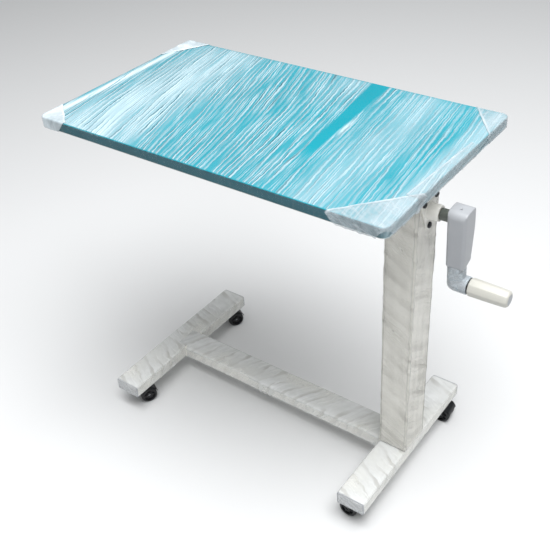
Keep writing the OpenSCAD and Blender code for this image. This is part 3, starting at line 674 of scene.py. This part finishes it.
def moulded_grip():
    """The grip: an off-white moulding with eight soft flats, a blended rim and a sunk cap."""
    low, high = (Vector(corner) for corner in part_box("grip_sleeve"))
    length = (high.x - low.x) / MM
    wide = (high.y - low.y) / 2 / MM
    end = wide - 1.5
    profile = [(GRIP_BORE, 0), (wide - 2.5, 0), (wide - 1.2, 0.5), (wide - 0.3, 1.6), (wide, 3.5),
               (wide - 0.4, 0.35 * length), (wide - 0.9, 0.7 * length), (end, length - 6),
               (end - 0.5, length - 3.4), (end - 1.8, length - 1.4), (end - 4, length - 0.3),
               (end - 5, length), (CAP_R, length), (CAP_R, length - GRIP_POCKET),
               (GRIP_BORE, length - GRIP_POCKET)]
    shape = bmesh.new()
    lathe(shape, profile, Matrix.Identity(4), 96)
    for vert in shape.verts:
        turn = math.atan2(vert.co.y, vert.co.x)
        side = math.cos(math.pi / 8) / math.cos(turn % (math.pi / 4) - math.pi / 8)
        flat = 1 - 0.6 * (1 - side) * ramp(vert.co.xy.length, 0.011, 0.015)
        vert.co.x *= flat
        vert.co.y *= flat
    bmesh.ops.transform(shape, matrix=along_axis((low.x, GRIP_AXIS.y, GRIP_AXIS.z), (1, 0, 0)),
                        verts=shape.verts)
    finish_piece("moulded_grip", shape, OFF_WHITE_PP, "grip", "grip_sleeve")


def film_round_elbow(arm):
    """A loose wrap of film round the crank's elbow, taken from the moulded arm's own surface."""
    shape = bmesh.new()
    shape.from_mesh(arm.data)
    top = GRIP_AXIS.z + 36 * MM
    above = [vert for vert in shape.verts
             if vert.co.z + 0.25 * (vert.co.y - GRIP_AXIS.y) + 4 * MM * noise.noise(vert.co * 40) > top]
    bmesh.ops.delete(shape, geom=above, context="VERTS")
    shape.normal_update()
    spots, marks = [], []
    for vert in shape.verts:
        vert.index = len(spots)
        ripple = abs(noise.noise(vert.co * 85)) + 0.5 * abs(noise.noise(vert.co * 210))
        spots.append(Vector((vert.co.z + 0.6 * vert.co.y, vert.co.x)))
        marks.append((0.04 + 0.28 * ripple, 0.45))
    moves = [vert.normal * (0.3 + 2.0 * marks[vert.index][0]) * MM for vert in shape.verts]
    for vert, move in zip(shape.verts, moves):
        vert.co += move
    set_film(shape, spots, marks)
    film_sheet("elbow_film", shape, FILM_BUNCHED, "crank")


def castor_wheels(i):
    """A castor's two wheels, each with a grooved tread, a sunk web with ribs, and a hub."""
    spin = joint("wheel_spin_%d" % i)
    low, high = (Vector(corner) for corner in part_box("castor_wheels_%d" % i))
    radius = (high.z - low.z) / 2 / MM
    half_w = WHEEL_W / 2
    hub, rim = 7, radius - 6.5
    profile = [(3.1, -half_w), (hub - 0.5, -half_w), (hub, -half_w + 0.6), (hub, -2), (rim, -2),
               (rim + 0.5, -half_w + 0.4), (radius - 3.5, -half_w), (radius - 1.6, -half_w + 0.6),
               (radius - 0.5, -half_w + 1.7), (radius, -half_w + 3.2), (radius, -1.9),
               (radius - 0.7, -1.6), (radius - 0.7, -0.9), (radius, -0.6)]
    profile += [(r, -z) for r, z in reversed(profile)]
    shape = bmesh.new()
    for side in (-1, 1):
        spot = Vector(spin["pos_m"]) + Vector(spin["axis"]).normalized() * side * WHEEL_OUT * MM
        place = along_axis(spot, spin["axis"])
        lathe(shape, profile, place, 56)
        for k in range(6):
            rib = bmesh.ops.create_cube(shape, size=1.0, matrix=place
                                        @ Matrix.Rotation(k * math.pi / 3, 4, "Z")
                                        @ Matrix.Translation(((hub + rim) / 2 * MM, 0, 0))
                                        @ Matrix.Diagonal(((rim - hub + 1) * MM, 1.6 * MM,
                                                           (WHEEL_W - 2.6) * MM, 1)))
            bmesh.ops.recalc_face_normals(shape, faces=list({f for v in rib["verts"] for f in v.link_faces}))
    finish_piece("wheels_with_tread_%d" % i, shape, BLACK_NYLON, "wheels_%d" % i,
                 "castor_wheels_%d" % i, 32)


def housing_screws():
    """Three button-head screws with sockets, in the bearing housing's flange."""
    low, high = (Vector(corner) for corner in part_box("housing_bolts"))
    head = HEAD_D / 2
    length = (high.x - low.x) / MM
    profile = [(0, 0), (2.4, 0), (2.4, length - HEAD_T), (head, length - HEAD_T),
               (head, length - 2.2), (head - 0.5, length - 1.2), (head - 1.4, length - 0.4),
               (head - 2.2, length), (1.8, length), (1.6, length - 1.6), (0, length - 1.9)]
    shape = bmesh.new()
    for y, z in ((-BOLT_SPREAD, BOLT_RISE), (BOLT_SPREAD, BOLT_RISE), (0, -BOLT_DROP)):
        lathe(shape, profile, along_axis((low.x, y, CRANK_AXIS.z + z), (1, 0, 0)), 32)
    finish_piece("button_head_screws", shape, BLACK_STEEL, "lift", "housing_bolts", 35)


def weld_bead(name, corners, outward, body, closed=False):
    """A weld bead with its ripples, along a line of places, on the side its direction points to."""
    shape = bmesh.new()
    stops = []
    corners = [Vector(corner) for corner in corners]
    pairs = list(zip(corners, corners[1:] + corners[:1])) if closed else list(zip(corners, corners[1:]))
    for a, b in pairs:
        steps = max(2, int((b - a).length / (0.9 * MM)))
        stops += [a.lerp(b, k / steps) for k in range(steps)]
    if not closed:
        stops.append(corners[-1])
    rings = []
    count = len(stops)
    for k, stop in enumerate(stops):
        ahead = stops[(k + 1) % count] if closed or k < count - 1 else stop
        behind = stops[k - 1] if closed or k > 0 else stop
        run = (ahead - behind).normalized()
        side = run.cross(Vector(outward)).normalized()
        lift = side.cross(run).normalized()
        size = (1.5 + 0.28 * math.sin(k * 1.9) + 0.2 * noise.noise(stop * 300)) * MM
        rings.append([shape.verts.new(stop + (side * math.cos(t) + lift * math.sin(t)) * size)
                      for t in (j * math.pi / 4 for j in range(8))])
    for k in range(count if closed else count - 1):
        near, far = rings[k], rings[(k + 1) % count]
        for j in range(8):
            shape.faces.new((near[j], near[j - 1], far[j - 1], far[j]))
    if not closed:
        shape.faces.new(rings[0])
        shape.faces.new(rings[-1])
    bmesh.ops.recalc_face_normals(shape, faces=shape.faces)
    finish_piece(name, shape, STEEL_PAINT, body, None, 60)


def welds():
    """Beads where the column meets the head plate and where the cross bar meets the feet."""
    middle, half = middle_and_half("column_sleeve")
    ring = [(middle.x + x * half.x, middle.y + y * half.y, middle.z + half.z - 0.4 * MM)
            for x, y in ((-1, -1), (1, -1), (1, 1), (-1, 1))]
    weld_bead("column_head_weld", ring, (0, 0, -1), "lift", closed=True)
    middle, half = middle_and_half("cross_bar")
    for side, name in ((-1, "left_foot_weld"), (1, "right_foot_weld")):
        x = middle.x + side * (half.x - 0.3 * MM)
        loop = [(x, middle.y + y * half.y, middle.z + z * half.z)
                for y, z in ((-1, 1), (-1, -1), (1, -1), (1, 1))]
        weld_bead(name, loop, (-side, 0, 0), "base")
    head, head_half = middle_and_half("head_plate")
    for side in (-1, 1):
        for end in (-1, 1):
            rail, _ = middle_and_half("support_rail_front" if side < 0 else "support_rail_back")
            x = head.x + end * (head_half.x - 0.2 * MM)
            y = (rail.y - 14 * MM, rail.y + 14 * MM)
            weld_bead("rail_weld_%s_%s" % ("front" if side < 0 else "back", "left" if end < 0 else "right"),
                      [(x, y[0], head.z + head_half.z), (x, y[1], head.z + head_half.z)],
                      (end, 0, 0), "lift")


def soften(node, name, voxel_mm, material, body, rounds=4, crumple=0.0):
    """A moulded stand-in for a CAD node: its shape with every edge blended."""
    source = frame["nodes"][node].copy()
    source.data = source.data.copy()
    source.parent = None
    source.name = name
    bpy.context.scene.collection.objects.link(source)
    shape = bmesh.new()
    shape.from_mesh(source.data)
    bmesh.ops.remove_doubles(shape, verts=shape.verts, dist=0.01 * MM)
    shape.to_mesh(source.data)
    shape.free()
    remesh = source.modifiers.new("blend", "REMESH")
    remesh.mode = "VOXEL"
    remesh.voxel_size = voxel_mm * MM
    graph = bpy.context.evaluated_depsgraph_get()
    graph.update()
    blended = bpy.data.meshes.new_from_object(source.evaluated_get(graph))
    bpy.data.objects.remove(source)
    shape = bmesh.new()
    shape.from_mesh(blended)
    for _ in range(rounds):
        bmesh.ops.smooth_vert(shape, verts=shape.verts, factor=0.5, use_axis_x=True, use_axis_y=True,
                              use_axis_z=True)
    if crumple:
        shape.normal_update()
        for vert in shape.verts:
            ripple = noise.noise(vert.co * 70) + 0.5 * noise.noise(vert.co * 190)
            near = ramp(GRIP_AXIS.z + 42 * MM - vert.co.z, 0, 20 * MM)
            vert.co += vert.normal * crumple * MM * ripple * (0.15 + 0.85 * near)
    bpy.data.meshes.remove(blended)
    piece = make_piece(name, shape, material, smooth=True)
    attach(piece, body)
    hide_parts(node)
    return piece


def open_bore(piece, spot, axis, radius, floor=None):
    """Moves a blended piece's points out of a bore, by the shorter way: outwards, or back past the
    bore's floor, which is given along its axis."""
    for vert in piece.data.vertices:
        along = (vert.co - spot).dot(axis)
        off = vert.co - spot - axis * along
        if off.length >= radius or (floor is not None and along <= floor):
            continue
        if floor is not None and along - floor < radius - off.length:
            vert.co -= axis * (along - floor)
        else:
            vert.co = spot + axis * along + off.normalized() * radius


def castor_hood(i):
    """A castor's hood with blended edges, its stem and axle bores widened again after blending."""
    hood = soften("castor_hood_%d" % i, "castor_hood_blended_%d" % i, 1.0, BLACK_NYLON,
                  "castor_%d" % i, 9)
    stem = Vector(joint("castor_swivel_%d" % i)["pos_m"])
    stem_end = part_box("castor_stems")[0][2]
    open_bore(hood, stem, Vector((0, 0, 1)), STEM_R + BORE_GAP, stem_end - stem.z - STEM_ROOM)
    spin = joint("wheel_spin_%d" % i)
    open_bore(hood, Vector(spin["pos_m"]), Vector(spin["axis"]).normalized(), AXLE_R + BORE_GAP)


# ---- Building ----

FILM_GAP = 0.1 * MM
TOP_HEM = 28 * MM
TOP_CORNER = 12 * MM
TOP_FOLD = 1 * MM
STEM_R = 5 * MM
AXLE_R = 3 * MM
BORE_GAP = 0.2 * MM
STEM_ROOM = 1.2 * MM
# Grip's bore and its end pocket, in millimetres; the pocket holds the cap and the spindle's head
GRIP_BORE = 5.2
CAP_R = 10.1
GRIP_POCKET = 6.8
BOLT_SPREAD, BOLT_RISE, BOLT_DROP = 22 * MM, 22 * MM, 30 * MM
HEAD_D, HEAD_T = 12, 4
WHEEL_W, WHEEL_OUT = 12, 12.5
# Each film gets its tint, then its painted shade colour for the crease lines, then the alphas of the painted
# highlight lines and the painted shade lines
FILM_TOP = stretch_film("ldpe_film_pulled_across", 10.5, 210, "D3ECF4", "0B6779", 0.44, 0.5, 1.8)
# The column's film is a darker, warmer copy of the same film: painted shade for the column's shaded sides
FILM_WOUND_PAINTED_DARKER = stretch_film("ldpe_film_wound_painted_darker", 40, 150, "DDDCD6", "8D8A84", 0.20, 0.15, 4)
FILM_BUNCHED = stretch_film("ldpe_film_bunched", 16, 50, "DBE6EC", "5F8794", 0.36, 0.25, 3)
# The film on the feet and cross bar is a brighter copy of the same film: painted light for their lit tops
FILM_FEET_PAINTED_BRIGHTER = stretch_film("ldpe_film_round_the_feet_painted_brighter", 34, 90, "F8FAFA", "BCBAB4", 0.2, 0.1, 4)
STEEL_PAINT = powder_coated_steel()
GREY_ABS = moulded_plastic("grey_abs", "9DA0A5", "ABAEB2", 0.4)
COLLAR_STEEL = moulded_plastic("phosphated_collar", "454A45", "5C625C", 0.4, 0.4)
OFF_WHITE_PP = moulded_plastic("off_white_polypropylene", "BDBCB4", "CBCAC3", 0.42)
BLACK_NYLON = moulded_plastic("black_nylon", "0B0C0F", "16171B", 0.35)
WHITE_ACETAL = moulded_plastic("white_acetal", "DCDCD6", "E8E8E3", 0.35)
ZINC = turned_metal("zinc_plated_steel", "9A9DA0", "C3C5C8", 0.35)
SHAFT_STEEL = turned_metal("ground_steel", "7E8184", "A9ACAF", 0.3)
BRONZE = turned_metal("bearing_bronze", "8C6A34", "B8914F", 0.38)
BLACK_STEEL = moulded_plastic("black_phosphated_steel", "15171A", "25282C", 0.45, 0.5)
SLOT_MATERIALS = {
    "core_board": particleboard(),
    "turquoise_laminate": turquoise_laminate(),
    "backing_laminate": moulded_plastic("backing_laminate", "D2D2CE", "DEDEDA", 0.5, 1.2),
    "edge_band": dark_teal_edge(),
    "painted_steel": STEEL_PAINT,
    "zinc_steel": ZINC,
    "machined_steel": SHAFT_STEEL,
    "bronze": BRONZE,
    "white_nylon": WHITE_ACETAL,
    "black_plastic": BLACK_NYLON,
    "black_steel": BLACK_STEEL,
    "grey_plastic": GREY_ABS,
    "packing_film": FILM_WOUND_PAINTED_DARKER,
}


def paint_cad_nodes():
    """Gives every CAD node the material of its slot."""
    for row in frame["record"]["subparts"]:
        mesh = frame["nodes"][row["node"]].data
        mesh.materials.clear()
        mesh.materials.append(SLOT_MATERIALS[row["material_slot"]])
    frame["nodes"]["shaft_collar"].data.materials[0] = COLLAR_STEEL


camera()
studio()
paint_cad_nodes()
film_over_top()
film_patch("front_left_corner_film", (-312, -216), (-384, -157), 75, 0.75, 0.8, 1.0)
film_patch("back_left_corner_film", (-384, 118), (-318, 224), 70, 0.7, 0.8, 2.0)
film_patch("back_right_corner_film", (313, 224), (384, 126), 75, 0.18, 0.5, 3.0)
film_patch("front_right_corner_film", (384, -96), (272, -224), 80, 0.22, 2.6, 4.0)
film_patch("right_edge_film", (368, 90), (357, -120), 50, 0.13, 2.2, 5.0)
film_round_column()
film_round_foot("left_foot_film", "left_foot", "film_left_foot")
film_round_foot("right_foot_film", "right_foot", "film_right_foot")
film_over_bar()
film_round_elbow(soften("crank_arm", "moulded_crank_arm", 1.1, GREY_ABS, "crank", 3, 0.35))
soften("bearing_housing", "cast_bearing_housing", 0.9, STEEL_PAINT, "lift", 3)
for number in range(1, 5):
    castor_hood(number)
    castor_wheels(number)
moulded_grip()
housing_screws()
welds()
